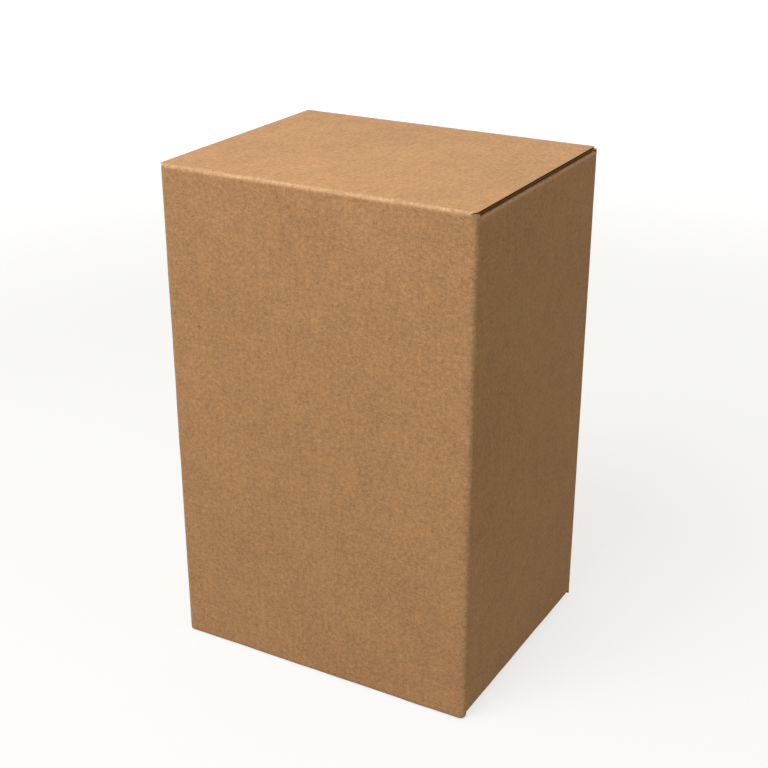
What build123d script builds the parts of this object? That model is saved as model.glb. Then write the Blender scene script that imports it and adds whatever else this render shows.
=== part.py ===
from build123d import *
import math
import os

os.makedirs("parts", exist_ok=True)

# A plain corrugated carton with a tuck lid at each end, die-cut and folded from one blank.
# Millimetres. X runs across the front wall, Y from the front wall to the back wall, Z up.
# The origin is the middle of the outside of the bottom lid, on the surface the carton stands on.
#
# Both lids are hinged on the front wall and tuck in behind the back wall. A dust flap is
# folded in from each side wall at both ends, and lies just inside the lid.

# ---- Driving sizes ----
WIDTH = 131.0            # outside, across the front wall
DEPTH = 107.0            # outside, front wall to back wall
HEIGHT = 203.0           # outside, bottom lid to top lid
BOARD = 1.6              # thickness of the board
CREASE_INSIDE = 0.2      # inside radius where a lid or flap is creased
CORNER_INSIDE = 1.0      # inside radius of the upright corner folds
DUST_FLAP = 46.0         # reach of a dust flap from its wall's outside
DUST_TAPER = 5.0         # how far each side of a dust flap slants in by its free edge
TUCK_FLAP = 22.0         # how far a tuck flap reaches in from the outside of its lid
TUCK_CORNER = 9.0        # radius of a tuck flap's free corners
GLUE_TAB = 30.0          # width of the tab glued inside the left wall
GLUE_TAB_BEVEL = 8.0     # how far each end of the glue tab slants in

# ---- Clearances ----
LID_SETBACK = 1.2        # cut side of the top lid, in from the side wall's outside
BOTTOM_SETBACK = 3.4     # cut side of the bottom lid, behind its crease
CREASE_HIP = 1.0         # length of full width behind the bottom lid's crease
LID_GAP = 0.2            # between a lid and the dust flaps under it
CORNER_DROP = 0.3        # cut end of a corner fold, below the crease beside it
HINGE_GAP = 0.1          # width of the split along a lid's crease
TUCK_GAP = 0.4           # between a tuck flap and the faces before and behind it
TUCK_SIDE_GAP = 0.8      # between a tuck flap's side and the glue tab
BACK_DROP = 1.5          # top edge of the back wall, below the top of the lid
BACK_NOTCH = 0.5         # each end of that edge, in from the corner fold
SEAM_SETBACK = 0.8       # rear edge of the left wall, in from the back wall's outside
SEAM_GLUE = 0.1          # gap behind the left wall, at the seam, that the glue still fills
SHOULDER = 1.4           # lid's rear edge beside the tuck flap, in from the tuck flap's face
TAB_END_GAP = 2.0        # each end of the glue tab, short of the dust flap

# ---- Worked out from these ----
half_width = WIDTH / 2
half_depth = DEPTH / 2
crease_outside = CREASE_INSIDE + BOARD
crease_middle = CREASE_INSIDE + BOARD / 2
corner_outside = CORNER_INSIDE + BOARD

# The dust flaps' outer faces, one board and a clearance inside the lids.
flap_bottom = BOARD + LID_GAP
flap_top = HEIGHT - flap_bottom

# The hinge line is the middle of the crease's rounded outside, so that the two halves of the
# crease only move apart as the lid swings from shut to lying straight out in front.
hinge_inset = crease_outside * (1 - math.sqrt(0.5))
hinge_y = -half_depth + hinge_inset
hinge_z = HEIGHT - hinge_inset
hinge_plane = Plane((0, hinge_y, hinge_z), z_dir=(0, 1, 1))

# The tuck flap's root is just inside the back wall. Its tip leans in, so that it passes the
# back wall with the same clearance while it swings about the hinge line.
tuck_y = half_depth - BOARD - TUCK_GAP
tuck_drop = TUCK_FLAP - hinge_inset
tuck_tip_y = hinge_y + math.sqrt((tuck_y - hinge_y) ** 2 - tuck_drop ** 2)
tuck_lean = math.atan2(tuck_y - tuck_tip_y, TUCK_FLAP)
tuck_half_width = half_width - 2 * BOARD - TUCK_SIDE_GAP
lid_half_width = half_width - LID_SETBACK


def board_section(*corners):
    """Section of board whose middle line runs through the corners, creased at each."""
    return trace(FilletPolyline(*corners, radius=crease_middle), BOARD)


def fold_front_and_panel(half):
    """The upper front wall folded over into the lid panel, as far as the panel's rear edge."""
    middle = BOARD / 2
    section = board_section(
        (-half_depth + middle, HEIGHT / 2),
        (-half_depth + middle, HEIGHT - middle),
        (tuck_y - SHOULDER, HEIGHT - middle),
    )
    return extrude(Plane.YZ * section, amount=half, both=True)


def make_tuck_flap():
    """The tuck flap with its crease and a strip of the lid, its free corners rounded."""
    middle = BOARD / 2
    reach = TUCK_FLAP - middle
    section = board_section(
        (0, HEIGHT - middle),
        (tuck_y - middle, HEIGHT - middle),
        (tuck_y - middle - reach * math.tan(tuck_lean), HEIGHT - TUCK_FLAP),
    )
    tongue = Pos(0, HEIGHT) * RectangleRounded(2 * tuck_half_width, 2 * TUCK_FLAP, TUCK_CORNER)
    flap = extrude(Plane.YZ * section, amount=tuck_half_width, both=True)
    return flap & extrude(Plane.XZ * tongue, amount=DEPTH, both=True)


def make_lid(panel_half_width):
    """Top lid: its half of the crease, the panel behind it and the tuck flap at the rear."""
    panel = split(
        fold_front_and_panel(lid_half_width), hinge_plane.offset(HINGE_GAP / 2), Keep.TOP)
    plan = RectangleRounded(WIDTH, DEPTH, corner_outside)
    cut = lid_half_width - panel_half_width
    if cut > 0:
        crease_end = -half_depth + crease_outside + CREASE_HIP
        corner = Pos(lid_half_width, crease_end) * Rectangle(
            2 * cut, DEPTH, align=(Align.CENTER, Align.MIN))
        plan -= corner + mirror(corner, Plane.YZ)
    return (panel & extrude(plan, amount=HEIGHT)) + make_tuck_flap()


def make_front_wall():
    """Front wall between its corner folds, with its half of the crease at both ends."""
    strip = fold_front_and_panel(half_width - corner_outside)
    upper = split(strip, hinge_plane.offset(-HINGE_GAP / 2), Keep.BOTTOM)
    return upper + mirror(upper, Plane.XY.offset(HEIGHT / 2))


def make_side_wall():
    """Right wall between its corner folds, with a dust flap folded in at both ends."""
    middle = BOARD / 2
    wall_x = half_width - middle
    free_x = half_width - DUST_FLAP
    section = board_section(
        (free_x, flap_top - middle),
        (wall_x, flap_top - middle),
        (wall_x, flap_bottom + middle),
        (free_x, flap_bottom + middle),
    )
    straight = half_depth - corner_outside
    strip = extrude(Plane.XZ * section, amount=straight, both=True)

    # Beside the tuck flap a dust flap is cut back, so that the tuck flap passes it.
    tuck_lean_room = 2 * flap_bottom * math.tan(tuck_lean)
    rear = tuck_y - BOARD - tuck_lean_room - TUCK_GAP
    root_x = half_width - crease_outside
    outline = make_face(Polyline(
        (half_width, -straight),
        (half_width, straight),
        (root_x, straight),
        (root_x, rear),
        (free_x, rear - DUST_TAPER),
        (free_x, -straight + DUST_TAPER),
        (root_x, -straight),
        close=True,
    ))
    return strip & extrude(outline, amount=HEIGHT)


def make_corner_folds():
    """The rounded corner folds, with the front and back walls between them, cut off level."""
    ring = RectangleRounded(WIDTH, DEPTH, corner_outside)
    ring -= RectangleRounded(WIDTH - 2 * BOARD, DEPTH - 2 * BOARD, CORNER_INSIDE)
    ring -= Rectangle(2 * WIDTH, DEPTH - 2 * corner_outside)

    # At the seam the back wall's fold is one board further in, inside the left wall, whose
    # cut rear edge stops just short of the back wall's outside.
    seam = Pos(-half_width, half_depth) * Rectangle(
        2 * (corner_outside + BOARD), 2 * corner_outside)
    seam_fold = (Pos(BOARD, 0) * ring) & seam
    seam_root = Pos(-half_width, half_depth - corner_outside)
    left_end = seam_root * Rectangle(
        BOARD, corner_outside - SEAM_SETBACK, align=(Align.MIN, Align.MIN))
    glue_length = math.sqrt(corner_outside ** 2 - (corner_outside - SEAM_GLUE) ** 2)
    glue = seam_root * Rectangle(
        BOARD + 2 * SEAM_GLUE, glue_length, align=(Align.MIN, Align.MIN))
    plan = (ring - seam) + seam_fold + left_end + glue
    low = flap_bottom + CORNER_DROP
    high = flap_top - CORNER_DROP
    return Pos(0, 0, low) * extrude(plan, amount=high - low)


def make_back_edges():
    """The back wall's two long cut edges, which stand beside the lids' tuck creases."""
    half = half_width - BOARD - corner_outside - BACK_NOTCH
    height = HEIGHT - BACK_DROP
    align = (Align.CENTER, Align.MAX, Align.MIN)
    return Pos(0, half_depth, 0) * Box(2 * half, BOARD, height, align=align)


def make_glue_tab():
    """Tab that continues the back wall round the corner and is glued inside the left wall."""
    low = flap_bottom + BOARD + TAB_END_GAP
    high = flap_top - BOARD - TAB_END_GAP
    root_y = half_depth - corner_outside
    outline = make_face(Polyline(
        (root_y, low),
        (root_y, high),
        (root_y - GLUE_TAB, high - GLUE_TAB_BEVEL),
        (root_y - GLUE_TAB, low + GLUE_TAB_BEVEL),
        close=True,
    ))
    return Pos(-half_width + BOARD, 0, 0) * extrude(Plane.YZ * outline, amount=BOARD)


def make_carton():
    """The four walls, the glued seam and the four dust flaps, as one folded piece."""
    right_wall = make_side_wall()
    carton = make_corner_folds() + make_front_wall() + make_back_edges()
    carton += right_wall
    carton += mirror(right_wall, Plane.YZ)
    carton += make_glue_tab()
    return carton


upright_lid = make_lid(half_width - BOTTOM_SETBACK)

nodes = {
    "carton": make_carton(),
    "top_lid": make_lid(lid_half_width),
    "bottom_lid": mirror(upright_lid, Plane.XY.offset(HEIGHT / 2)),
}

for name, shape in nodes.items():
    export_step(shape, f"parts/{name}.step")
    size = shape.bounding_box().size
    print(f"{name}: {len(shape.solids())} solid, {shape.volume:.1f} mm3, "
          f"{size.X:.2f} x {size.Y:.2f} x {size.Z:.2f} mm")

print(f"hinge line: y {hinge_y:.4f}, z {hinge_z:.4f} (top) and {hinge_inset:.4f} (bottom)")
print(f"tuck flap leans {math.degrees(tuck_lean):.2f} degrees")
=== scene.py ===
import math

import bpy
import numpy as np
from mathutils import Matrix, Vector


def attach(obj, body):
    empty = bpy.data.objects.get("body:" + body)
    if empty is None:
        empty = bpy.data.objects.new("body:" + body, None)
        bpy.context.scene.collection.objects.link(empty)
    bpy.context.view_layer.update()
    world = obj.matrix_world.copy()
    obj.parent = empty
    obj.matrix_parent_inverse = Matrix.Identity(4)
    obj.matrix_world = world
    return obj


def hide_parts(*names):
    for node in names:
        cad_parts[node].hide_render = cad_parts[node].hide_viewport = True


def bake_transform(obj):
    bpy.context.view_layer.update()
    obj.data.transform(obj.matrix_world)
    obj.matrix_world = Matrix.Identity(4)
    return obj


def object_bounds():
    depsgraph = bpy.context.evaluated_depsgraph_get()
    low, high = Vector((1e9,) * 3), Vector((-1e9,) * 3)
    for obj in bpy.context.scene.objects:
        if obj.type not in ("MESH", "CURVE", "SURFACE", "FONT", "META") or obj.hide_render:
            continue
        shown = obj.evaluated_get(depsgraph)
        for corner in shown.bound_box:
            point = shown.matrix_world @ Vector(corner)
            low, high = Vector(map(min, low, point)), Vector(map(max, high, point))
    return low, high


# The looks of a plain corrugated carton with a tuck lid at each end.
# Metres, in the frame of the CAD part: X across the front wall, Y to the back wall, Z up.
#
# Each piece of board is a fine sheet folded by formula, with a thickness, cut edges that show
# the fluting, and a small swell and unevenness. Each corner of the mesh also knows its place
# in the flat blank, so that the paper's pattern runs on round every fold and at every pose.

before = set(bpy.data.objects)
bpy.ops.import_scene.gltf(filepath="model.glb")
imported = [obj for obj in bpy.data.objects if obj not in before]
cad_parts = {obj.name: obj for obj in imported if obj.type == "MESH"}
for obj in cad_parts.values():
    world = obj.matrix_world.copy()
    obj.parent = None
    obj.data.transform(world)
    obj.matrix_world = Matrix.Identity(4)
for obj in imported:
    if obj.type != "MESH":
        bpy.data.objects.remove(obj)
cad_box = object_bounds()
cad_low, cad_high = cad_box

MM = 0.001

# ---- Sizes of the folded carton ----
WIDTH = cad_high.x - cad_low.x
DEPTH = cad_high.y - cad_low.y
HEIGHT = cad_high.z - cad_low.z
BOARD = 1.6 * MM             # thickness of the board
CREASE_INSIDE = 0.2 * MM     # inside radius where a lid or flap is creased
CORNER_INSIDE = 1.0 * MM     # inside radius of the upright corner folds
DUST_FLAP = 46.0 * MM        # reach of a dust flap from its wall's outside
DUST_TAPER = 5.0 * MM        # how far each side of a dust flap slants in by its free edge
TUCK_FLAP = 22.0 * MM        # how far a tuck flap reaches in from the outside of its lid
TUCK_CORNER = 9.0 * MM       # radius of a tuck flap's free corners
GLUE_TAB = 30.0 * MM         # width of the tab glued inside the left wall
GLUE_TAB_BEVEL = 8.0 * MM    # how far each end of the glue tab slants in
LID_SETBACK = 0.4 * MM       # right side of the top lid, in from the side wall's outside
LEFT_SETBACK = 0.2 * MM      # left side of the top lid, in from the side wall's outside
BOTTOM_SETBACK = 3.4 * MM    # cut side of the bottom lid, behind its crease
CREASE_HIP = 1.0 * MM        # length of full width behind the bottom lid's crease
HIP_FADE = 0.5 * MM          # length over which the bottom lid then narrows
LID_GAP = 0.2 * MM           # between a lid and the dust flaps under it
CORNER_DROP = 0.9 * MM       # cut end of a front corner fold, in from the lid's outside
TUCK_GAP = 0.4 * MM          # between a tuck flap and the faces before and behind it
TUCK_SIDE_GAP = 0.8 * MM     # between a tuck flap's side and the glue tab
BACK_DROP = 1.5 * MM         # top edge of the back wall, below the top of the lid
BACK_NOTCH = 0.5 * MM        # each end of its lower edge, in from the corner fold
SEAM_SETBACK = 0.8 * MM      # rear edge of the left wall, in from the back wall's outside
SEAM_GLUE = 0.1 * MM         # glue between the left wall and the tab inside it
SHOULDER = 1.4 * MM          # lid's rear edge beside the tuck flap, in from the flap's face
SHOULDER_ROUND = 2.6 * MM    # radius of the lid's rear corners
TAB_END_GAP = 2.0 * MM       # each end of the glue tab, short of the dust flap

# ---- Swell and unevenness ----
FRONT_SWELL = 0.35 * MM      # how far the middle of each wall stands out
SIDE_SWELL = 0.30 * MM
BACK_SWELL = 0.30 * MM
LID_SWELL = 0.15 * MM
PANEL_WAVE = 0.05 * MM       # slow unevenness of the flat walls
FOLD_WAVE = 0.10 * MM        # unevenness along the folds
FLAP_DROOP = 0.5 * MM        # how far a dust flap is pressed in from its own place
CORNER_LEAN = 0.45 * MM      # how far a corner fold's cut end leans in beside a side wall

# ---- Cut edges ----
SIDE_GROOVE = 1.15 * MM      # depth of the open flute along a side cut with the fluting
END_GROOVE = 0.22 * MM       # depth to which the fluting shows on an end cut across it
INSIDE_CRUSH = 0.85          # share of that depth to which the inner facing is crushed back
FLUTE_PITCH = 3.3 * MM       # length of one wave of the fluting
LINER = 0.20 * MM            # thickness of the facing papers
FLUTE_EDGE = 1.6             # where the groove reaches its full depth, in thicknesses of a facing

# Share of its groove that a cut keeps where the board is pressed flat or folded beside it.
PRESSED_GROOVE = 0.3         # rear corner folds, back wall's edges and glue tab
FRONT_GROOVE = 0.1           # front corner folds
CREASE_GROOVE = 0.25         # ends of the creases
SHOULDER_GROOVE = 0.4        # lid's rear edge beside the tuck flap

# ---- Wear and painted highlight on the folds: 0 as new, 1 as rubbed and highlit as the crease of a lid ----
CORNER_WEAR = 0.5            # middle of an upright corner fold
END_WEAR = 0.3               # cut ends of the corner folds and the back wall
TUCK_WEAR = 0.7              # tuck flap's crease

# ---- Shape of a lid ----
WIDENING_FROM = (0.0, -0.5)  # how soon its crease widens, on the left and on the right
WIDENING_TO = 1.1            # past 1, the crease has its whole width before it ends
SHOULDER_SHARE = 0.8         # most of a shoulder's width that its rounded corner may take
ROUNDING_REACH = 2.2         # part of the tuck flap that its rounded corners reshape, in radii

# ---- Mesh ----
STEP = 2.6 * MM              # spacing of the mesh on the flats
BEND_STEPS = 8               # faces round each fold
WELD = 0.01 * MM             # corners nearer than this are one
FACING_STEPS = 50            # and only if they face the same way to one part in this
SHARP_ANGLE = 35             # least angle in degrees between two faces that meet in a hard edge
TINY = 1e-9                  # stops a division by a length of nought

# ---- Worked out from these ----
half_width = WIDTH / 2
half_depth = DEPTH / 2
crease_outside = CREASE_INSIDE + BOARD
crease_middle = CREASE_INSIDE + BOARD / 2
corner_outside = CORNER_INSIDE + BOARD
flap_top = HEIGHT - BOARD - LID_GAP
joint_top = flap_top - crease_outside          # foot of the side creases, at the upper end
joint_bottom = HEIGHT - joint_top
hinge_inset = crease_outside * (1 - math.sqrt(0.5))
hinge_y = -half_depth + hinge_inset
tuck_y = half_depth - BOARD - TUCK_GAP
tuck_drop = TUCK_FLAP - hinge_inset
tuck_tip_y = hinge_y + math.sqrt((tuck_y - hinge_y) ** 2 - tuck_drop ** 2)
tuck_lean = math.atan2(tuck_y - tuck_tip_y, TUCK_FLAP)
tuck_half_width = half_width - 2 * BOARD - TUCK_SIDE_GAP
tuck_start = tuck_y - BOARD / 2 - crease_middle * math.tan((math.pi / 2 + tuck_lean) / 2)
foot = HEIGHT - crease_outside                 # where a lid's crease starts, in the front wall
crown = -half_depth + crease_outside           # and where it ends, in the lid
lid_half_width = half_width - LID_SETBACK
front_half_width = half_width - corner_outside
dust_rear = tuck_y - BOARD - 2 * (BOARD + LID_GAP) * math.tan(tuck_lean) - TUCK_GAP


# ==== Stations along a folded line ====

def straight(start, end, facing, rows=None):
    """Stations on a flat stretch: their places, the side that they face and how far along."""
    length = math.dist(start, end)
    if rows is None:
        rows = max(1, round(length / STEP))
    share = np.linspace(0, 1, rows + 1)
    places = np.outer(1 - share, start) + np.outer(share, end)
    return places, np.tile(np.array(facing, float), (rows + 1, 1)), share * length


def bend(centre, radius, first, last):
    """Stations round a fold, between two angles in degrees."""
    turns = np.radians(np.linspace(first, last, BEND_STEPS + 1))
    facing = np.column_stack([np.cos(turns), np.sin(turns)])
    return np.array(centre) + radius * facing, facing, radius * abs(turns - turns[0])


def bump_share(count):
    """0 at both ends of a row of stations and 1 in its middle."""
    return np.sin(np.linspace(0, math.pi, count)) ** 2


def faded_ends(count):
    """0 at both ends of a row of stations, rising steeply and levelling out at 1 in its middle."""
    return bump_share(count) ** 0.25


def smooth(share):
    """0 to 1 with level ends."""
    share = np.clip(share, 0, 1)
    return share * share * (3 - 2 * share)


def slow_wave(along, across=0.0, seed=0.0):
    """A smooth uneven number between about -1 and 1, for places in metres."""
    a = along / MM
    b = across / MM
    return (
        0.45 * np.sin(a / 9.1 + b / 23.0 + 1.7 * seed)
        + 0.30 * np.sin(a / 5.3 - b / 17.0 + 2.9 + 3.1 * seed)
        + 0.25 * np.sin(a / 2.9 + b / 11.0 + 0.8 - 2.3 * seed)
    )


# ==== The board ====

class Sheet:
    """The outside of a piece of folded board, as quads, and the solid board behind it."""

    def __init__(self):
        self.numbers = {}
        self.points = []
        self.facings = []
        self.blanks = []
        self.grooves = []
        self.wears_and_highlights = []
        self.quads = []

    def corner(self, point, facing, blank, groove, wear_and_highlight):
        """Number of the corner at a point, shared with any patch that meets it there."""
        turned = tuple(np.round(facing * FACING_STEPS).astype(int))
        key = tuple(np.round(point / WELD).astype(int)) + turned
        if key not in self.numbers:
            self.numbers[key] = len(self.points)
            self.points.append(point)
            self.facings.append(facing)
            self.blanks.append(blank)
            self.grooves.append(groove)
            self.wears_and_highlights.append(wear_and_highlight)
        number = self.numbers[key]
        self.grooves[number] = min(self.grooves[number], groove)
        self.wears_and_highlights[number] = max(self.wears_and_highlights[number], wear_and_highlight)
        return number

    def patch(self, points, facings, u, v, groove=1.0, wear_and_highlight=0.0):
        """Adds a grid of corners. u and v are their places across and up the flat blank."""
        rows, columns = points.shape[:2]
        size = (rows, columns)
        u, v = np.broadcast_to(u, size), np.broadcast_to(v, size)
        groove, wear_and_highlight = np.broadcast_to(groove, size), np.broadcast_to(wear_and_highlight, size)
        facings = np.broadcast_to(facings, points.shape)
        numbers = np.zeros(size, int)
        for r in range(rows):
            for c in range(columns):
                blank = (u[r, c], v[r, c])
                numbers[r, c] = self.corner(
                    points[r, c], facings[r, c], blank, groove[r, c], wear_and_highlight[r, c])
        middle = (rows - 1) // 2, (columns - 1) // 2
        here = points[middle]
        down = points[middle[0] + 1, middle[1]] - here
        over = points[middle[0], middle[1] + 1] - here
        turned = np.dot(np.cross(over, down), facings[middle]) < 0
        for r in range(rows - 1):
            for c in range(columns - 1):
                quad = [numbers[r, c], numbers[r, c + 1], numbers[r + 1, c + 1], numbers[r + 1, c]]
                if len(set(quad)) == 4:
                    self.quads.append(quad[::-1] if turned else quad)

    def rim_edges(self):
        """The open edges of the sheet, in the direction in which their quads run."""
        used = {}
        for quad in self.quads:
            for a, b in zip(quad, quad[1:] + quad[:1]):
                used[(a, b)] = used.get((a, b), 0) + 1
        return [edge for edge in used if edge[::-1] not in used]

    def solid(self, name):
        """The board as a closed mesh object, with its cut edges on the second material."""
        outside = np.array(self.points)
        facing = np.array(self.facings)
        inside = outside - BOARD * facing
        blank = np.array(self.blanks)
        count = len(outside)
        edges = self.rim_edges()

        # At each rim corner: the way into the board, and how far it lies along the fluting.
        inward = np.zeros((count, 3))
        along = np.zeros(count)
        touching = np.zeros(count)
        for a, b in edges:
            run = outside[b] - outside[a]
            length = np.linalg.norm(run)
            way = np.cross(facing[a] + facing[b], run / length)
            upwards = abs(blank[b][1] - blank[a][1]) / max(length, WELD)
            for corner in (a, b):
                inward[corner] += way
                along[corner] += min(1.0, upwards)
                touching[corner] += 1

        points = [*outside, *inside]
        depths = [0.0] * count + [BOARD] * count
        places = [*blank, *blank]
        wears_and_highlights = [*self.wears_and_highlights, *([0.0] * count)]
        flutes = [0.0] * (2 * count)
        opens = [0.0] * (2 * count)
        rim = {}
        liner = LINER / BOARD
        flute = FLUTE_EDGE * liner
        shares = (0.0, liner, flute, 1 - flute, 1 - liner, 1.0)
        sunk = (0.0, 0.0, 1.0, 1.0, INSIDE_CRUSH, INSIDE_CRUSH)
        for corner in np.flatnonzero(touching):
            way = inward[corner] / max(np.linalg.norm(inward[corner]), TINY)
            with_flute = along[corner] / touching[corner]
            groove = self.grooves[corner] * (
                END_GROOVE + (SIDE_GROOVE - END_GROOVE) * max(0.0, 2 * with_flute - 1))
            chain = [corner]
            for share, sink in list(zip(shares, sunk))[1:-1]:
                place = outside[corner] * (1 - share) + inside[corner] * share
                points.append(place + way * groove * sink)
                depths.append(BOARD * share)
                places.append(blank[corner])
                wears_and_highlights.append(0.0)
                opens.append(self.grooves[corner])
                flutes.append(with_flute)
                chain.append(len(points) - 1)
            chain.append(corner + count)
            points[corner + count] = inside[corner] + way * groove * INSIDE_CRUSH
            flutes[corner] = flutes[corner + count] = with_flute
            opens[corner] = opens[corner + count] = self.grooves[corner]
            rim[corner] = chain

        faces = [*self.quads]
        faces += [[count + i for i in quad[::-1]] for quad in self.quads]
        first_rim = len(faces)
        for a, b in edges:
            for k in range(len(shares) - 1):
                faces.append([rim[b][k], rim[a][k], rim[a][k + 1], rim[b][k + 1]])

        mesh = bpy.data.meshes.new(name)
        mesh.from_pydata([tuple(p) for p in points], [], faces)
        mesh.validate()
        material = np.zeros(len(faces), np.int32)
        material[first_rim:] = 1
        mesh.polygons.foreach_set("material_index", material)
        blank_mm = np.column_stack([np.array(places) / MM, np.array(depths) / MM])
        self.write(mesh, "blank_mm", "FLOAT_VECTOR", "vector", blank_mm)
        self.write(mesh, "with_flute", "FLOAT", "value", np.array(flutes))
        self.write(mesh, "open_flute", "FLOAT", "value", np.array(opens))
        self.write(mesh, "fold_wear_and_highlight", "FLOAT", "value", np.array(wears_and_highlights))
        mesh.shade_smooth()
        mesh.set_sharp_from_angle(angle=math.radians(SHARP_ANGLE))
        piece = bpy.data.objects.new(name, mesh)
        bpy.context.scene.collection.objects.link(piece)
        return piece

    @staticmethod
    def write(mesh, name, kind, field, values):
        """Stores a number or a place for each corner of the mesh."""
        attribute = mesh.attributes.new(name, kind, "POINT")
        attribute.data.foreach_set(field, values.astype(np.float32).ravel())


# ==== The carton: walls, corner folds, glue tab and dust flaps ====

def carton_route():
    """Plan of the walls, from the left wall's cut rear edge round to the glue tab's edge."""
    r = corner_outside
    left, right, front, back = -half_width, half_width, -half_depth, half_depth
    tucked = left + BOARD + SEAM_GLUE
    notch = half_width - BOARD - corner_outside - BACK_NOTCH
    stretches = {
        "left_rear": straight((left, back - SEAM_SETBACK), (left, back - r), (-1, 0)),
        "left": straight((left, back - r), (left, front + r), (-1, 0)),
        "front_left": bend((left + r, front + r), r, 180, 270),
        "front": straight((left + r, front), (right - r, front), (0, -1)),
        "front_right": bend((right - r, front + r), r, 270, 360),
        "right": straight((right, front + r), (right, back - r), (1, 0)),
        "back_right": bend((right - r, back - r), r, 0, 90),
        "back_near": straight((right - r, back), (notch, back), (0, 1)),
        "back": straight((notch, back), (-notch, back), (0, 1)),
        "back_far": straight((-notch, back), (tucked + r, back), (0, 1)),
        "back_left": bend((tucked + r, back - r), r, 90, 180),
        "tab": straight((tucked, back - r), (tucked, back - r - GLUE_TAB), (-1, 0)),
    }
    # Distances across the blank count from the middle of the front wall.
    so_far = 0.0
    route = {}
    for name, (places, facing, along) in stretches.items():
        route[name] = (places, facing, along + so_far)
        so_far += along[-1]
    middle = (route["front"][2][0] + route["front"][2][-1]) / 2
    return {name: (p, f, u - middle) for name, (p, f, u) in route.items()}


def upright(stretch, heights):
    """Grid of corners where a stretch of the plan stands up to each of the heights."""
    places, facing, u = stretch
    shape = (len(heights), len(places))
    points = np.zeros(shape + (3,))
    points[..., :2] = places
    points[..., 2] = np.array(heights)[:, None]
    facings = np.zeros(shape + (3,))
    facings[..., :2] = facing
    return points, facings, np.broadcast_to(u, shape), np.broadcast_to(points[..., 2], shape)


def swollen(points, facings, u, v, swell, seed):
    """A flat wall with its middle a little proud, and slightly uneven."""
    across = np.linspace(-1, 1, points.shape[1])
    up = np.linspace(-1, 1, points.shape[0])[:, None]
    window = (1 - across ** 2) * (1 - up ** 4)
    out = window * (swell + PANEL_WAVE * slow_wave(u / 3, v / 2, seed))
    return points + out[..., None] * facings


def add_walls(sheet, route):
    """The walls and corner folds, between the feet of the upper and the lower creases."""
    levels = np.array([joint_bottom, *tab_levels(), joint_top])
    swells = {"left": SIDE_SWELL, "front": FRONT_SWELL, "right": SIDE_SWELL, "back": BACK_SWELL}
    for seed, name in enumerate(n for n in route if n != "tab"):
        points, facings, u, v = upright(route[name], levels)
        wear_and_highlight = 0.0
        if name in swells:
            points = swollen(points, facings, u, v, swells[name], seed)
        elif name in ("front_left", "front_right", "back_right", "back_left"):
            round_fold = bump_share(points.shape[1])
            up = faded_ends(points.shape[0])[:, None]
            out = FOLD_WAVE * slow_wave(v, seed=seed) * round_fold * up
            points = points + out[..., None] * facings
            wear_and_highlight = CORNER_WEAR * round_fold
        groove = np.ones(points.shape[:2])
        if name == "front":
            groove[0], groove[-1] = 0, 0
        sheet.patch(points, facings, u, v, groove, wear_and_highlight)


def tab_levels():
    """Heights of the rows of the walls that the glue tab shares."""
    low = BOARD + LID_GAP + BOARD + TAB_END_GAP
    return np.linspace(low, HEIGHT - low, round((HEIGHT - 2 * low) / STEP) + 1)


def add_tab(sheet, stretch):
    """The glue tab, whose ends slant in towards its free edge."""
    levels = tab_levels()
    points, facings, u, v = upright(stretch, levels)
    slant = np.linspace(0, 1, points.shape[1]) * GLUE_TAB_BEVEL
    from_middle = points[..., 2] - HEIGHT / 2
    half = levels[-1] - HEIGHT / 2
    points[..., 2] = HEIGHT / 2 + from_middle * (half - slant) / half
    sheet.patch(points, facings, u, points[..., 2], PRESSED_GROOVE)


def mirrored(points, facings, v):
    """The same grid at the lower end of the carton."""
    points, facings = points.copy(), facings.copy()
    points[..., 2] = HEIGHT - points[..., 2]
    facings[..., 2] *= -1
    return points, facings, HEIGHT - v


def both_ends(sheet, points, facings, u, v, groove=1.0, wear_and_highlight=0.0):
    """Adds a grid at the upper end of the carton and its mirror image at the lower end."""
    sheet.patch(points, facings, u, v, groove, wear_and_highlight)
    points, facings, v = mirrored(points, facings, v)
    sheet.patch(points, facings, u, v, groove, wear_and_highlight)


def add_wall_ends(sheet, route):
    """What stands above the feet of the creases: the corner folds and the back wall's edge."""
    for name in ("left_rear", "back_right", "back_near", "back", "back_far", "back_left"):
        rows = np.linspace(joint_top, HEIGHT - BACK_DROP, 4)
        points, facings, u, v = upright(route[name], rows)
        both_ends(sheet, points, facings, u, v, PRESSED_GROOVE, END_WEAR)

    # The front corner folds lean in a little on the side where a side wall is cut free of them.
    rows = np.linspace(joint_top, HEIGHT - CORNER_DROP, 5)
    up = np.linspace(0, 1, len(rows))[:, None] ** 2
    for name, inwards in (("front_left", 1), ("front_right", -1)):
        points, facings, u, v = upright(route[name], rows)
        beside_wall = np.linspace(0, 1, points.shape[1])[::-inwards]
        lean = CORNER_LEAN * beside_wall ** 2 * up
        points = points + lean[..., None] * np.array([inwards, 0, 0])
        both_ends(sheet, points, facings, u, v, FRONT_GROOVE, END_WEAR)

    # The back wall's lower edge, on which the carton stands.
    points, facings, u, v = upright(route["back"], np.linspace(0, BACK_DROP, 3))
    sheet.patch(points, facings, u, v, PRESSED_GROOVE)


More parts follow.
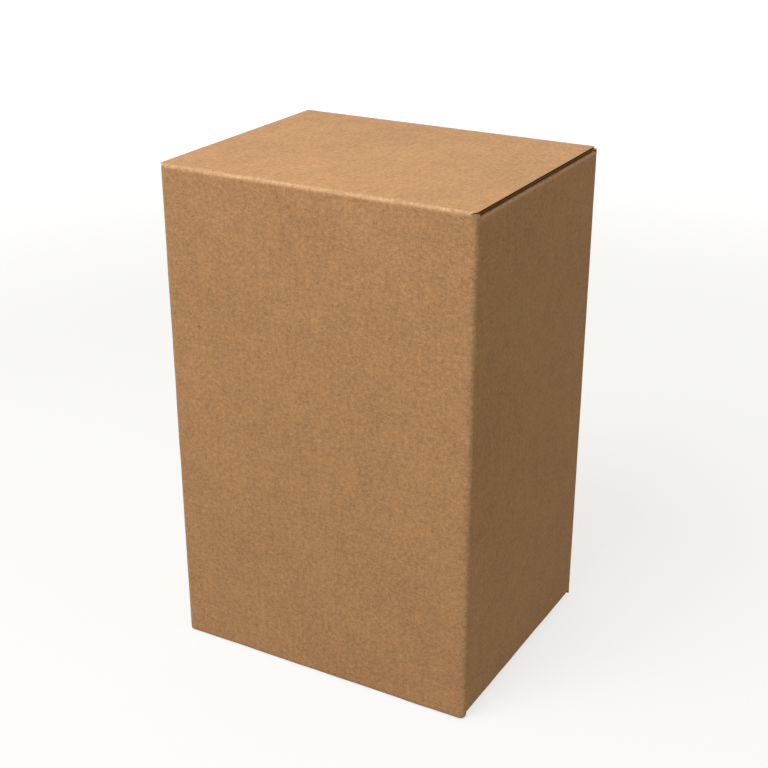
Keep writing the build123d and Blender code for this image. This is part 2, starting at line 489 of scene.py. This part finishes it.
def add_dust_flaps(sheet, stretch, side):
    """A side wall's creases at both ends, with the dust flaps folded in."""
    places, _, u = stretch
    order = np.argsort(places[:, 1])
    y, u = places[order, 1], u[order]
    crease_x = half_width - crease_outside
    profile, facing, along = bend((crease_x, joint_top), crease_outside, 0, 90)
    turn = bump_share(len(along))[:, None]
    points = np.zeros((len(profile), len(y), 3))
    points[..., 0] = profile[:, 0][:, None]
    points[..., 1] = y
    points[..., 2] = profile[:, 1][:, None]
    facings = np.zeros_like(points)
    facings[..., 0] = facing[:, 0][:, None]
    facings[..., 2] = facing[:, 1][:, None]
    out = FOLD_WAVE * turn * slow_wave(y, seed=5 + side) * faded_ends(len(y))
    points = points + out[..., None] * facings
    points[..., 2] -= FLAP_DROOP * smooth(np.linspace(-1, 1, len(along)))[:, None]
    v = joint_top + np.broadcast_to(along[:, None], points.shape[:2])
    # The side creases are paled at their crown: wear and a painted highlight.
    wear_and_highlight = np.broadcast_to(turn, points.shape[:2])
    flip = np.array([side, 1, 1])
    both_ends(sheet, points * flip, facings * flip, u, v, CREASE_GROOVE, wear_and_highlight)

    # The flap behind the crease, cut back at the rear and tapered towards its free edge.
    kept = y <= dust_rear + WELD
    y_flap, u_flap = y[kept], u[kept]
    root_rear = y_flap[-1]
    reach = crease_x - (half_width - DUST_FLAP)
    share = np.linspace(0, 1, round(reach / STEP) + 1)[:, None]
    from_front = (y_flap - y_flap[0]) / (root_rear - y_flap[0])
    front = y_flap[0] + share * DUST_TAPER
    rear = root_rear - share * DUST_TAPER
    points = np.zeros((len(share), len(y_flap), 3))
    points[..., 0] = crease_x - share * reach
    points[..., 1] = front + from_front * (rear - front)
    points[..., 2] = flap_top - FLAP_DROOP
    facings = np.zeros_like(points)
    facings[..., 2] = 1
    v = joint_top + along[-1] + np.broadcast_to(share * reach, points.shape[:2])
    both_ends(sheet, points * flip, facings, u_flap, v)


def add_rear_station(stretch):
    """The same stretch of a side wall, with a station where the dust flaps are cut back."""
    places, facing, u = stretch
    places, u = places.copy(), u.copy()
    nearest = np.argmin(abs(places[:, 1] - dust_rear))
    runs_back = np.sign(places[-1, 1] - places[0, 1])
    u[nearest] += runs_back * (dust_rear - places[nearest, 1])
    places[nearest, 1] = dust_rear
    return places, facing, u


def make_carton():
    """The walls, the glued seam and the four dust flaps, as one folded sheet."""
    route = carton_route()
    for name in ("left", "right"):
        route[name] = add_rear_station(route[name])
    sheet = Sheet()
    add_walls(sheet, route)
    add_wall_ends(sheet, route)
    add_tab(sheet, route["tab"])
    add_dust_flaps(sheet, route["right"], 1)
    add_dust_flaps(sheet, route["left"], -1)
    return sheet.solid("carton_board")


# ==== The lids ====

tuck_columns = np.linspace(
    -tuck_half_width, tuck_half_width, 2 * round(tuck_half_width / STEP) + 1)


def lid_columns(left_at, right_at):
    """Places across a lid for each row, from the reach of the row to the left and the right."""
    shares = np.array([0.5, 1.0])
    left = tuck_half_width + (np.array(left_at)[:, None] - tuck_half_width) * shares
    right = tuck_half_width + (np.array(right_at)[:, None] - tuck_half_width) * shares
    middle = np.broadcast_to(tuck_columns, (len(left), len(tuck_columns)))
    return np.hstack([-left[:, ::-1], middle, right])


def lid_grid(profile, facing, x):
    """Grid of corners from a side profile in Y and Z, and the places across for each row."""
    points = np.zeros(x.shape + (3,))
    points[..., 0] = x
    points[..., 1:] = profile[:, None, :]
    facings = np.zeros_like(points)
    facings[..., 1:] = facing[:, None, :]
    return points, facings


def level_grid(y, x):
    """Grid of corners on the flat of a lid."""
    profile = np.column_stack([y, np.full(len(y), HEIGHT)])
    return lid_grid(profile, np.tile((0.0, 1.0), (len(y), 1)), x)


class Lid(Sheet):
    """A lid, in rows from the joint line in the front wall, over its crease, to its tip.

    crease_reach and panel_reach are how far the lid reaches to the left and to the right.
    length is how far up the blank the rows have come.
    """

    def __init__(self, crease_reach, panel_reach, is_top):
        super().__init__()
        self.crease_reach = crease_reach
        self.panel_reach = panel_reach
        self.is_top = is_top
        self.length = joint_top

    def add(self, points, facings, along, groove=1.0, wear_and_highlight=0.0):
        """Adds rows, each so far along from where the stretch before them ended."""
        u = points[..., 0]
        v = np.broadcast_to((self.length + along)[:, None], u.shape)
        if not self.is_top:
            points, facings, v = mirrored(points, facings, v)
        self.patch(points, facings, u, v, groove, wear_and_highlight)

    def add_front(self):
        """The top of the front wall, as far as the crease."""
        start, end = (-half_depth, joint_top), (-half_depth, foot)
        profile, facing, along = straight(start, end, (-1, 0), rows=2)
        plain = [front_half_width] * len(along)
        points, facings = lid_grid(profile, facing, lid_columns(plain, plain))
        self.add(points, facings, along, groove=0.0)
        self.length += along[-1]

    def add_crease(self):
        """The crease, which widens above the corner folds, sooner on the left."""
        centre = (crown, foot)
        profile, facing, along = bend(centre, crease_outside, 180, 90)
        reaches = []
        for reach, start in zip(self.crease_reach, WIDENING_FROM):
            share = smooth(np.linspace(start, WIDENING_TO, len(along)))
            reaches.append(front_half_width + (reach - front_half_width) * share)
        x = lid_columns(*reaches)
        points, facings = lid_grid(profile, facing, x)
        turn = bump_share(len(along))[:, None]
        out = FOLD_WAVE * turn * slow_wave(x, seed=9.0)
        points = points + out[..., None] * facings
        # The lid's crease is paled at its crown: wear and a painted highlight.
        self.add(points, facings, along, CREASE_GROOVE, turn * np.ones_like(x))
        self.length += along[-1]

    def add_panel(self):
        """The panel. Behind its hip a narrower lid draws in to its own width."""
        hip_end = crown + CREASE_HIP
        rows = round((tuck_start - hip_end) / STEP) + 1
        flat_y = np.linspace(hip_end + HIP_FADE, tuck_start, rows)
        y = np.array([crown, crown + CREASE_HIP / 2, hip_end, *flat_y])
        narrow = smooth((y - hip_end) / HIP_FADE)
        x = lid_columns(*(wide + (own - wide) * narrow
                          for wide, own in zip(self.crease_reach, self.panel_reach)))
        points, facings = level_grid(y, x)
        across = x / lid_half_width
        deep = (2 * (y - crown) / (tuck_start - crown) - 1)[:, None]
        window = np.clip(1 - across ** 2, 0, 1) * (1 - deep ** 4)
        up = window * LID_SWELL * (1 + 0.4 * slow_wave(x / 3, points[..., 1] / 2, seed=3.0))
        points[..., 2] += up if self.is_top else -up
        self.add(points, facings, y - crown)
        self.length += y[-1] - crown

    def add_shoulders(self):
        """The two rear shoulders beside the tuck flap, with small rounded corners."""
        turns = np.linspace(0, math.pi / 2, 5)
        rear = tuck_y - SHOULDER
        y = tuck_start + (rear - tuck_start) * np.sin(turns)
        for side, reach in zip((-1, 1), self.panel_reach):
            wide = min(SHOULDER_ROUND, SHOULDER_SHARE * (reach - tuck_half_width))
            half = reach - wide + wide * np.cos(turns)
            x = tuck_half_width + (half - tuck_half_width)[:, None] * np.array([0, 0.5, 1.0])
            points, facings = level_grid(y, side * x)
            self.add(points, facings, y - tuck_start, SHOULDER_GROOVE)

    def add_tuck_crease(self):
        """The crease behind the panel. Returns where it ends and the way that it faces there."""
        centre = (tuck_start, foot)
        profile, facing, along = bend(centre, crease_outside, 90, -math.degrees(tuck_lean))
        x = np.tile(tuck_columns, (len(along), 1))
        points, facings = lid_grid(profile, facing, x)
        turn = bump_share(len(along))[:, None]
        out = FOLD_WAVE * turn * slow_wave(x, seed=4.0) * (1 - (x / tuck_half_width) ** 8)
        points = points - abs(out[..., None]) * facings
        self.add(points, facings, along, CREASE_GROOVE, TUCK_WEAR * turn * np.ones_like(x))
        self.length += along[-1]
        return profile[-1], facing[-1]

    def add_tuck_flap(self, root, facing):
        """The tuck flap, narrower than the lid and rounded at its free corners."""
        reach = TUCK_FLAP - BOARD / 2
        middle_y = tuck_y - BOARD / 2 - reach * math.tan(tuck_lean)
        tip = np.array([middle_y, HEIGHT - TUCK_FLAP]) + facing * BOARD / 2
        flap_length = math.dist(root, tip)
        turns = np.linspace(0, math.pi / 2, 9)
        round_rows = flap_length - TUCK_CORNER + TUCK_CORNER * np.sin(turns)
        plain_rows = np.linspace(0, flap_length - TUCK_CORNER, 6)[:-1]
        along = np.array([*plain_rows, *round_rows])
        past = np.clip(along - (flap_length - TUCK_CORNER), 0, TUCK_CORNER)
        half = tuck_half_width - TUCK_CORNER + np.sqrt(TUCK_CORNER ** 2 - past ** 2)
        still = tuck_half_width - ROUNDING_REACH * TUCK_CORNER
        out = abs(tuck_columns)
        beyond = np.clip((out - still) / (tuck_half_width - still), 0, 1)
        x = np.sign(tuck_columns) * (np.minimum(out, still) + beyond * (half - still)[:, None])
        places = root + along[:, None] * ((tip - root) / flap_length)
        points, facings = lid_grid(places, np.tile(facing, (len(along), 1)), x)
        self.add(points, facings, along)


def make_lid(name, crease_reach, panel_reach, is_top):
    """The top lid, or the bottom one, which is built as if at the top and then mirrored."""
    lid = Lid(crease_reach, panel_reach, is_top)
    lid.add_front()
    lid.add_crease()
    lid.add_panel()
    lid.add_shoulders()
    root, facing = lid.add_tuck_crease()
    lid.add_tuck_flap(root, facing)
    return lid.solid(name)


# ==== Materials ====

class Tree:
    """Short calls for the nodes of a material or a world."""

    def __init__(self, owner):
        self.owner = owner
        owner.use_nodes = True
        self.nodes = owner.node_tree.nodes
        self.links = owner.node_tree.links
        self.nodes.clear()

    def add(self, kind, sockets=None, **settings):
        """A new node, with each socket linked to another or set to a value."""
        made = self.nodes.new("ShaderNode" + kind)
        for key, value in settings.items():
            setattr(made, key, value)
        for key, value in (sockets or {}).items():
            if isinstance(value, bpy.types.NodeSocket):
                self.links.new(value, made.inputs[key])
            else:
                made.inputs[key].default_value = value
        return made

    def math(self, operation, first, second=0.0, third=0.0):
        made = self.add("Math", {0: first, 1: second, 2: third}, operation=operation)
        return made.outputs[0]

    def noise(self, place, scale, detail=2.0, rough=0.5):
        """A pattern from 0 to 1, with about scale patches to a millimetre."""
        sockets = {"Vector": place, "Scale": scale, "Detail": detail, "Roughness": rough}
        return self.add("TexNoise", sockets).outputs["Fac"]

    def stretched(self, place, stretch):
        made = self.add("VectorMath", {0: place, 1: stretch}, operation="MULTIPLY")
        return made.outputs["Vector"]

    def swing(self, value, size):
        """A pattern from 0 to 1, as a number about nought that reaches half of size."""
        return self.math("MULTIPLY", self.math("SUBTRACT", value, 0.5), size)

    def total(self, *values):
        so_far = values[0]
        for value in values[1:]:
            so_far = self.math("ADD", so_far, value)
        return so_far

    def scaled(self, colour, by):
        """A colour made lighter or darker by a number."""
        made = self.add("VectorMath", {0: colour, "Scale": by}, operation="SCALE")
        return made.outputs["Vector"]

    def blended(self, share, first, second):
        """The first colour at a share of 0 and the second at 1."""
        made = self.add("Mix", {0: share, 6: first, 7: second}, data_type="RGBA")
        return made.outputs[2]


KRAFT = (0.550, 0.306, 0.147, 1.0)
KRAFT_RED = (0.500, 0.257, 0.115, 1.0)
# Pale cream of the folds: partly wear, partly a painted highlight on the creases.
WEAR_AND_HIGHLIGHT = (0.660, 0.425, 0.250, 1.0)
FLECK_DARK = (0.330, 0.165, 0.074, 1.0)
FLECK_LIGHT = (0.700, 0.456, 0.267, 1.0)
DARK_ABOVE = 0.735           # level of its pattern above which a dark fleck shows
LIGHT_ABOVE = 0.715          # the same for a light one
BUMP_DEPTH = 0.014 * MM


def kraft_paper():
    """Matt brown kraft paper: mottled, finely speckled and fibrous, paler where it is folded, from
    wear and a painted highlight.
    """
    tree = Tree(bpy.data.materials.new("kraft_paper"))
    place = tree.add("Attribute", attribute_name="blank_mm").outputs["Vector"]
    wear_and_highlight = tree.add("Attribute", attribute_name="fold_wear_and_highlight").outputs["Fac"]

    cloud = tree.noise(place, 0.03, 3.0, 0.55)
    blotch = tree.noise(place, 0.16, 3.0, 0.6)
    mottle = tree.noise(place, 0.62, 3.0, 0.65)
    speckle = tree.noise(place, 1.55, 2.0, 0.6)
    streak = tree.noise(tree.stretched(place, (1.0, 0.10, 1.0)), 0.55, 3.0, 0.6)
    grain = tree.noise(tree.stretched(place, (0.45, 1.0, 1.0)), 1.3, 2.0, 0.6)

    tone = tree.total(
        1.0,
        tree.swing(cloud, 0.28),
        tree.swing(blotch, 0.54),
        tree.swing(mottle, 0.88),
        tree.swing(speckle, 0.80),
        tree.swing(streak, 0.22),
        tree.swing(grain, 0.35),
    )
    red = tree.math("MULTIPLY", tree.math("SUBTRACT", blotch, 0.35), 1.4)
    red = tree.math("MINIMUM", tree.math("MAXIMUM", red, 0.0), 1.0)
    base = tree.blended(red, KRAFT, KRAFT_RED)

    dark_spots = tree.noise(place, 0.95, 1.0, 0.4)
    dark = tree.math("MULTIPLY", tree.math("GREATER_THAN", dark_spots, DARK_ABOVE), 0.35)
    fibre = tree.noise(tree.stretched(place, (1.7, 0.35, 1.0)), 1.2, 2.0, 0.5)
    light = tree.math("MULTIPLY", tree.math("GREATER_THAN", fibre, LIGHT_ABOVE), 0.30)
    flecked = tree.blended(dark, base, FLECK_DARK)
    flecked = tree.blended(light, flecked, FLECK_LIGHT)

    # Wear and painted highlight: the folds are paled towards a cream colour.
    rubbed_and_highlit = tree.math("MULTIPLY", wear_and_highlight, tree.math("MULTIPLY_ADD", mottle, 1.4, 0.15))
    worn_and_highlit = tree.blended(tree.math("MULTIPLY", rubbed_and_highlit, 0.8), flecked, WEAR_AND_HIGHLIGHT)
    colour = tree.scaled(worn_and_highlit, tone)

    height = tree.total(
        tree.swing(speckle, 1.0),
        tree.swing(grain, 0.8),
        tree.swing(mottle, 0.8),
        tree.swing(streak, 0.5),
    )
    bump = tree.add("Bump", {"Height": height, "Strength": 1.0, "Distance": BUMP_DEPTH})
    rough = tree.total(0.66, tree.swing(mottle, 0.16))
    shader = tree.add("BsdfPrincipled", {
        "Base Color": colour,
        "Roughness": rough,
        "Specular IOR Level": 0.20,
        "Normal": bump.outputs["Normal"],
    })
    tree.add("OutputMaterial", {"Surface": shader.outputs[0]})
    return tree.owner


CUT_PAPER = (0.470, 0.272, 0.138, 1.0)
# Near-black painted shade for the open flutes of a cut edge.
PAINTED_HOLLOW_SHADE = (0.060, 0.034, 0.018, 1.0)
FUZZ_DEPTH = 0.08 * MM


def cut_edge():
    """A cut edge: the two facing papers, the waved fluting between them and painted shade in the
    hollows.
    """
    tree = Tree(bpy.data.materials.new("cut_edge"))
    place = tree.add("Attribute", attribute_name="blank_mm").outputs["Vector"]
    along = tree.add("Attribute", attribute_name="with_flute").outputs["Fac"]
    opened = tree.add("Attribute", attribute_name="open_flute").outputs["Fac"]
    parts = tree.add("SeparateXYZ", {0: place})
    u, depth = parts.outputs["X"], parts.outputs["Z"]

    board = BOARD / MM
    liner = LINER / MM
    from_middle = tree.math("SUBTRACT", depth, board / 2)
    off_middle = tree.math("ABSOLUTE", from_middle)
    in_liner = tree.math("GREATER_THAN", off_middle, board / 2 - liner * 1.2)
    wander = tree.swing(tree.noise(place, 0.35, 1.0), 1.5)
    turn = tree.math("ADD", tree.math("MULTIPLY", u, 2 * math.pi * MM / FLUTE_PITCH), wander)
    wave = tree.math("MULTIPLY", tree.math("SINE", turn), board / 2 - liner * 1.3)
    off_wave = tree.math("ABSOLUTE", tree.math("SUBTRACT", from_middle, wave))
    in_flute = tree.math("LESS_THAN", off_wave, liner)
    across = tree.math("LESS_THAN", along, 0.5)
    shut = tree.math("LESS_THAN", opened, 0.5)
    paper = tree.math("MAXIMUM", in_liner, tree.math("MULTIPLY", in_flute, across))
    paper = tree.math("MAXIMUM", paper, shut)

    fuzz = tree.noise(place, 2.6, 3.0, 0.6)
    # Painted shade: wherever there is no paper, the flute hollows are coloured near black.
    colour = tree.blended(paper, PAINTED_HOLLOW_SHADE, CUT_PAPER)
    colour = tree.scaled(colour, tree.total(1.0, tree.swing(fuzz, 0.6)))
    bump = tree.add("Bump", {"Height": fuzz, "Strength": 1.0, "Distance": FUZZ_DEPTH})
    shader = tree.add("BsdfPrincipled", {
        "Base Color": colour,
        "Roughness": 0.9,
        "Specular IOR Level": 0.15,
        "Normal": bump.outputs["Normal"],
    })
    tree.add("OutputMaterial", {"Surface": shader.outputs[0]})
    return tree.owner


# ==== Studio ====

WHITE = (1.0, 1.0, 1.0, 1.0)
FLOOR_SIZE = 12.0
FLOOR_DROP = 0.02 * MM
FLOOR_GLOW = 0.73            # the floor's own white in the picture, under the lamp's light
FLOOR_BOUNCE = (0.24, 0.22, 0.20, 1.0)
FLOOR_SEEN = (0.26, 0.26, 0.26, 1.0)
FADE_FROM = 0.35             # distance at which the floor starts to fade into the backdrop
FADE_TO = 1.1                # and at which it is as white


def seen_directly(tree):
    """1 for rays that show the backdrop: from the camera, a mirror or glass."""
    path = tree.add("LightPath").outputs
    shown = tree.total(path["Is Camera Ray"], path["Is Glossy Ray"], path["Is Transmission Ray"])
    return tree.math("MINIMUM", shown, 1.0)


def floor_material():
    """White to the eye, with the carton's shadow, and darker in the light that it bounces."""
    tree = Tree(bpy.data.materials.new("studio_floor"))
    place = tree.add("NewGeometry").outputs["Position"]
    distance = tree.add("VectorMath", {0: place}, operation="LENGTH").outputs["Value"]
    fade = tree.add("MapRange", {
        "Value": distance,
        "From Min": FADE_FROM,
        "From Max": FADE_TO,
        "To Min": FLOOR_GLOW,
        "To Max": 1.0,
    }, interpolation_type="SMOOTHSTEP")
    glow = tree.add("Emission", {"Color": WHITE, "Strength": fade.outputs[0]})
    seen = tree.add("BsdfDiffuse", {"Color": FLOOR_SEEN})
    shown = tree.add("AddShader", {0: glow.outputs[0], 1: seen.outputs[0]})
    bounce = tree.add("BsdfDiffuse", {"Color": FLOOR_BOUNCE})
    mixed = tree.add("MixShader", {
        0: seen_directly(tree), 1: bounce.outputs[0], 2: shown.outputs[0]})
    tree.add("OutputMaterial", {"Surface": mixed.outputs[0]})
    return tree.owner


def make_floor():
    """A white floor that fades into the white backdrop and keeps the carton's shadow."""
    half = FLOOR_SIZE / 2
    level = cad_low.z - FLOOR_DROP
    ways = ((-half, -half), (half, -half), (half, half), (-half, half))
    corners = [(x, y, level) for x, y in ways]
    mesh = bpy.data.meshes.new("studio_floor")
    mesh.from_pydata(corners, [], [(0, 1, 2, 3)])
    mesh.materials.append(floor_material())
    floor = bpy.data.objects.new("studio_floor", mesh)
    bpy.context.scene.collection.objects.link(floor)


AMBIENT = (0.434, 0.413, 0.342)
KEY_FROM = (-0.14, -0.55, 0.82)          # way from the carton's middle to the lamp
KEY_DISTANCE = 1.1
KEY_SIZE = 0.6
KEY_POWER = 8.7


def make_world():
    """A white backdrop for the camera, and a plain dimmer light all round the carton."""
    tree = Tree(bpy.data.worlds.new("studio"))
    bpy.context.scene.world = tree.owner
    light = tree.add("Background", {"Color": (*AMBIENT, 1.0)})
    backdrop = tree.add("Background", {"Color": WHITE})
    mixed = tree.add("MixShader", {
        0: seen_directly(tree), 1: light.outputs[0], 2: backdrop.outputs[0]})
    tree.add("OutputWorld", {"Surface": mixed.outputs[0]})


def make_key_lamp():
    """A square soft lamp above the front of the carton, which looks at its middle."""
    target = Vector((0, 0, HEIGHT / 2))
    towards = Vector(KEY_FROM).normalized()
    data = bpy.data.lights.new("key_lamp", "AREA")
    data.shape = "SQUARE"
    data.size = KEY_SIZE
    data.energy = KEY_POWER
    lamp = bpy.data.objects.new("key_lamp", data)
    lamp.location = target + towards * KEY_DISTANCE
    lamp.rotation_mode = "QUATERNION"
    lamp.rotation_quaternion = (-towards).to_track_quat("-Z", "Y")
    bpy.context.scene.collection.objects.link(lamp)


CAMERA_PLACE = (0.25730, -0.45504, 0.33438)
CAMERA_LOOKS = (-0.44838, 0.79307, -0.41230)
CAMERA_LENS = 65.78
CAMERA_SENSOR = 36.0
CAMERA_SHIFT = 0.03
CAMERA_NEAR = 0.01


def make_camera():
    """The camera, at the place and angle of a product picture from the front right."""
    data = bpy.data.cameras.new("camera")
    data.sensor_width = CAMERA_SENSOR
    data.lens = CAMERA_LENS
    data.shift_y = CAMERA_SHIFT
    data.clip_start = CAMERA_NEAR
    camera = bpy.data.objects.new("camera", data)
    camera.location = CAMERA_PLACE
    camera.rotation_mode = "QUATERNION"
    camera.rotation_quaternion = Vector(CAMERA_LOOKS).to_track_quat("-Z", "Y")
    bpy.context.scene.collection.objects.link(camera)
    bpy.context.scene.camera = camera


# ==== The scene ====

bpy.context.scene.view_settings.view_transform = "Standard"
make_world()
make_floor()
make_key_lamp()
make_camera()

carton = make_carton()
top_reach = (half_width - LEFT_SETBACK, lid_half_width)
top_lid = make_lid("top_lid_board", top_reach, top_reach, is_top=True)
bottom_crease = (front_half_width, front_half_width)
bottom_reach = (half_width - BOTTOM_SETBACK, half_width - BOTTOM_SETBACK)
bottom_lid = make_lid("bottom_lid_board", bottom_crease, bottom_reach, is_top=False)

paper, edge = kraft_paper(), cut_edge()
for piece in (carton, top_lid, bottom_lid):
    piece.data.materials.append(paper)
    piece.data.materials.append(edge)

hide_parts("carton")
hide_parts("top_lid")
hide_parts("bottom_lid")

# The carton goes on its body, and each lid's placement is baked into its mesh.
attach(carton, "carton")
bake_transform(top_lid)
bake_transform(bottom_lid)
